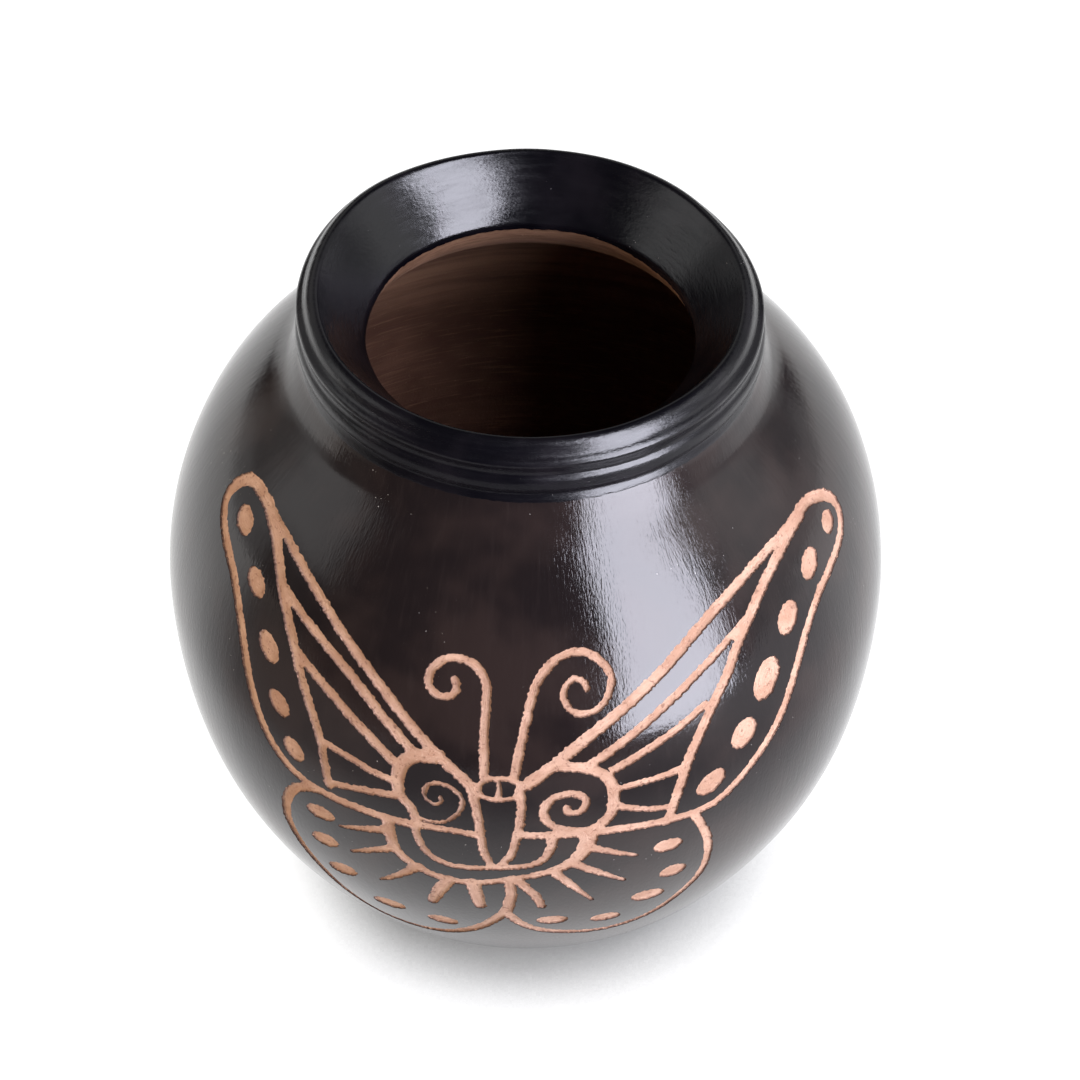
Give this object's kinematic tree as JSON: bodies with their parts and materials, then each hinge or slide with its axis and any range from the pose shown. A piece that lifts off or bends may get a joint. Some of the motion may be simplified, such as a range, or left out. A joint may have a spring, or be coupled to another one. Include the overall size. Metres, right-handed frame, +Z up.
{
  "type": "clay pot",
  "caption": "Round black-slipped clay pot with a short flared neck, a collar band under the lip and a butterfly cut through the slip into tan clay.",
  "frame": {"origin": "centre of the flat foot, on the ground", "axes": "+Z up along the pot's axis, -Y towards the front butterfly's side, +X to the right when that side is seen from the front"},
  "size_m": [0.132, 0.132, 0.1379],
  "materials": {
    "clay": "matt, unglazed, with fine tool and wiping marks",
    "body_slip": "burnished to a soft gloss",
    "neck_slip": "burnished to a gloss"
  },
  "bodies": {
    "root": {"foot_slab": "clay", "lower_bowl": "clay", "upper_bowl": "clay", "neck_ring": "clay", "collar_coil": "clay", "lip_coil": "clay", "body_slip": "body_slip", "neck_slip": "neck_slip"}
  },
  "joints": []
}
